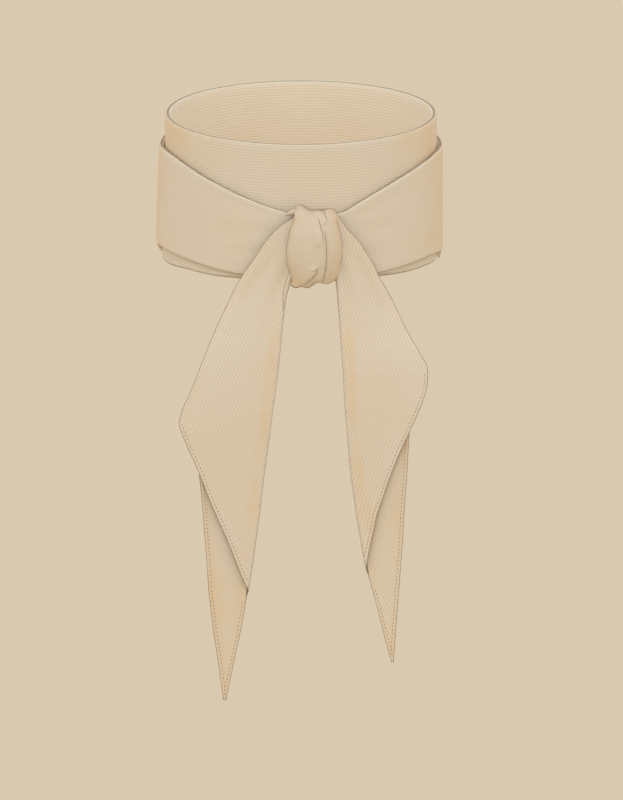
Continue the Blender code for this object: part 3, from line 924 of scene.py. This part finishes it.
def knotRelief(look, x, z):  # how far the knot's front stands out here, and how near a fold's edge is
    relief = creaseRelief(look["pulls"], x, z)
    near = wearAndShade["far"]
    for path, height, roundness, levels in look["folds"]:
        away, share = foldEdge(path, x, z)
        fade = 1 - abs(2 * share - 1) ** 5
        relief -= look["foldTrough"] * height * fade * math.exp(-((away / look["troughWidth"]) ** 2))
        if away > 0:
            bent = 1 - min(away / roundness, 1.0)
            back = max(away - roundness, 0.0) / levels
            relief += height * fade * math.sqrt(1 - bent * bent) * math.exp(-back * back)
        wornAndShaded = look["foldWearShade"]
        near = min(near, wornAndShaded["crest"] + abs(away + wornAndShaded["back"]) + wornAndShaded["ends"] * (1 - fade))
    return relief, near


def knotShade(ochreShade, x, z, front):  # painted ochre shade at its sides, on its right and at its foot, over a base tint on its front
    return (ochreShade["front"]
            + ochreShade["sides"] * (1 - front) ** 1.5
            + ochreShade["right"] * soft(*ochreShade["rightPlaces"], x)
            + ochreShade["low"] * soft(*ochreShade["lowHeights"], z))


def makeKnot(look):
    lines = smoothLines(look["rows"], "z")
    topRise = smoothLine(look["topEdge"]["x"], look["topEdge"]["rise"])
    bottomRise = smoothLine(look["bottomEdge"]["x"], look["bottomEdge"]["rise"])
    ribLean = smoothLine(look["ribs"]["x"], look["ribs"]["lean"])
    highest = look["rows"]["z"][0]
    lowest = look["rows"]["z"][-1]
    bm = bmesh.new()
    bmesh.ops.create_uvsphere(bm, u_segments=look["around"], v_segments=look["rings"], radius=1.0)
    uv = bm.loops.layers.uv.new("ribs")
    rim = bm.verts.layers.float.new("rim")
    warmth = bm.verts.layers.float.new("warmth")
    ribPlaces = {}
    for vert in bm.verts:
        z = highest + (lowest - highest) * (1 - vert.co.z) / 2
        here = {key: line(z) for key, line in lines.items()}
        atPole = math.hypot(vert.co.x, vert.co.y) <= 0.0001
        turn = 1.0 if atPole else math.atan2(vert.co.x, -vert.co.y) / math.pi
        share = look["frontShare"]
        if abs(turn) <= share:
            turn = turn / share / 2
        else:
            turn = math.copysign(0.5 + (abs(turn) - share) / (1 - share) / 2, turn)
        across = math.sin(turn * math.pi)
        front = max(0.0, math.cos(turn * math.pi))
        half = (here["right"] - here["left"]) / 2
        x = here["left"] + half * (1 + across)
        edgeWearShade = look["edgeWearShade"]
        edge = min(highest - z, max(0.0, z - lowest - edgeWearShade["bottomIn"]))
        z += (topRise(x) * soft(look["edgesFrom"]["top"], highest, z)
              + bottomRise(x) * soft(look["edgesFrom"]["bottom"], lowest, z))
        relief, near = knotRelief(look, x, z)
        arch = front ** look["arch"]
        y = -math.sqrt(here["back"] ** 2 - x ** 2) - (here["front"] - here["back"]) * arch
        y -= relief * soft(*look["reliefEdge"], front)
        vert.co = Vector((x, y, z)) * mm
        vert[rim], vert[warmth] = edgeWearShade["behind"], look["ochreShade"]["behind"]
        # painted shade with some wear: a dark line at the knot's sides, bottom edge and fold edges
        if front > 0:
            vert[rim] = min(near, wearAndShade["crest"] + edgeWearShade["sides"] * front,
                            edgeWearShade["least"] + edgeWearShade["sides"] * edge)
            vert[warmth] = knotShade(look["ochreShade"], x, z, front)
        lean = math.tan(math.radians(ribLean(x)))
        flatShare, roundShare = look["ribSpread"]
        bend = half * (flatShare * across + roundShare * math.asin(across))
        overRibs = here["left"] + half + bend + z * lean
        ribPlaces[vert.index] = (z / look["ribPitch"], overRibs / look["ribPitch"])
    for face in bm.faces:
        for loop in face.loops:
            loop[uv].uv = ribPlaces[loop.vert.index]
    addTuck(bm, look["tuck"], look["ribPitch"], uv, rim, warmth)
    bmesh.ops.recalc_face_normals(bm, faces=bm.faces)
    piece = finishPiece("knotLoop", bm, knotCloth, ["knot"])


def addTuck(bm, tuck, ribPitch, uv, rim, warmth):
    made = bmesh.ops.create_uvsphere(bm, u_segments=tuck["sides"], v_segments=tuck["rings"], radius=1.0)
    turn = Matrix.Rotation(math.radians(tuck["turn"]), 2)
    for vert in made["verts"]:
        x, y, z = vert.co
        thin = tuck["narrow"] + (1 - tuck["narrow"]) * soft(*tuck["narrowTo"], x)
        flat = turn @ Vector((x * tuck["half"][0], z * tuck["half"][1] * thin))
        front = max(0.0, -y)
        spot = (tuck["middle"][0] + flat.x, tuck["middle"][1] + flat.y)
        deep = tuck["radius"] - y * tuck["half"][2] * thin
        vert.co = Vector((spot[0], -math.sqrt(deep ** 2 - spot[0] ** 2), spot[1])) * mm
        vert[rim] = wearAndShade["crest"] + tuck["wearAndShade"] * front
        vert[warmth] = tuck["warmth"]
    for face in {face for vert in made["verts"] for face in vert.link_faces}:
        for loop in face.loops:
            x, y, z = loop.vert.co / mm
            loop[uv].uv = (x / ribPitch, (z + x * tuck["ribLean"]) / ribPitch)


makeKnot(knot)
print("knot made")


# The floor, the light and the camera

studio = {
    "floorDrop": 700.0,
    "floorSize": 30000.0,
    "floorColour": dye(213, 197, 171),
    "floorRoughness": 0.95,
    "floorSpecular": 0.1,
    "skyColour": dye(253, 253, 252),
    "skyStrength": 0.985,
    "keyStrength": 0.42,
    "keyWidth": 30,  # degrees
    "keyTowards": (0.05, 0.9, -0.6),
}


def makeFloor(look):
    finish = Finish("floorPaint")
    finish.paint(Base_Color=look["floorColour"], Roughness=look["floorRoughness"])
    finish.paint(Specular_IOR_Level=look["floorSpecular"])
    bm = bmesh.new()
    bmesh.ops.create_grid(bm, x_segments=2, y_segments=2, size=look["floorSize"] * mm / 2)
    bmesh.ops.translate(bm, verts=bm.verts, vec=(0, 0, -look["floorDrop"] * mm))
    mesh = bpy.data.meshes.new("floor")
    bm.to_mesh(mesh)
    bm.free()
    mesh.materials.append(finish.material)
    floor = bpy.data.objects.new("floor", mesh)
    bpy.context.scene.collection.objects.link(floor)


def makeSun(look):  # a wide, soft light from far off
    lamp = bpy.data.lights.new("keyLight", "SUN")
    lamp.energy = look["keyStrength"]
    lamp.angle = math.radians(look["keyWidth"])
    sun = bpy.data.objects.new("keyLight", lamp)
    sun.rotation_euler = Vector(look["keyTowards"]).to_track_quat("-Z", "Y").to_euler()
    bpy.context.scene.collection.objects.link(sun)


def makeSky(look):
    world = bpy.data.worlds.new("studioSky")
    world.use_nodes = True
    sky = world.node_tree.nodes["Background"]
    sky.inputs["Color"].default_value = look["skyColour"]
    sky.inputs["Strength"].default_value = look["skyStrength"]
    bpy.context.scene.world = world
    bpy.context.scene.view_settings.view_transform = "Standard"  # colours come out as they are dyed


makeFloor(studio)
makeSky(studio)
makeSun(studio)

view = {
    "aim": (4.9, 0.0, -103.7),
    "elevation": 13.82,
    "frameHeight": 370.6,
    "away": 5000.0,
}


def makeCamera(look):
    lens = bpy.data.cameras.new("camera")
    lens.type = "ORTHO"  # the picture has no vanishing points
    lens.ortho_scale = look["frameHeight"] * mm
    camera = bpy.data.objects.new("camera", lens)
    up = math.radians(look["elevation"])
    direction = Vector((0, -math.cos(up), math.sin(up)))
    camera.location = (Vector(look["aim"]) + direction * look["away"]) * mm
    camera.rotation_euler = (-direction).to_track_quat("-Z", "Y").to_euler()
    bpy.context.scene.collection.objects.link(camera)
    bpy.context.scene.camera = camera


makeCamera(view)
print("studio ready")
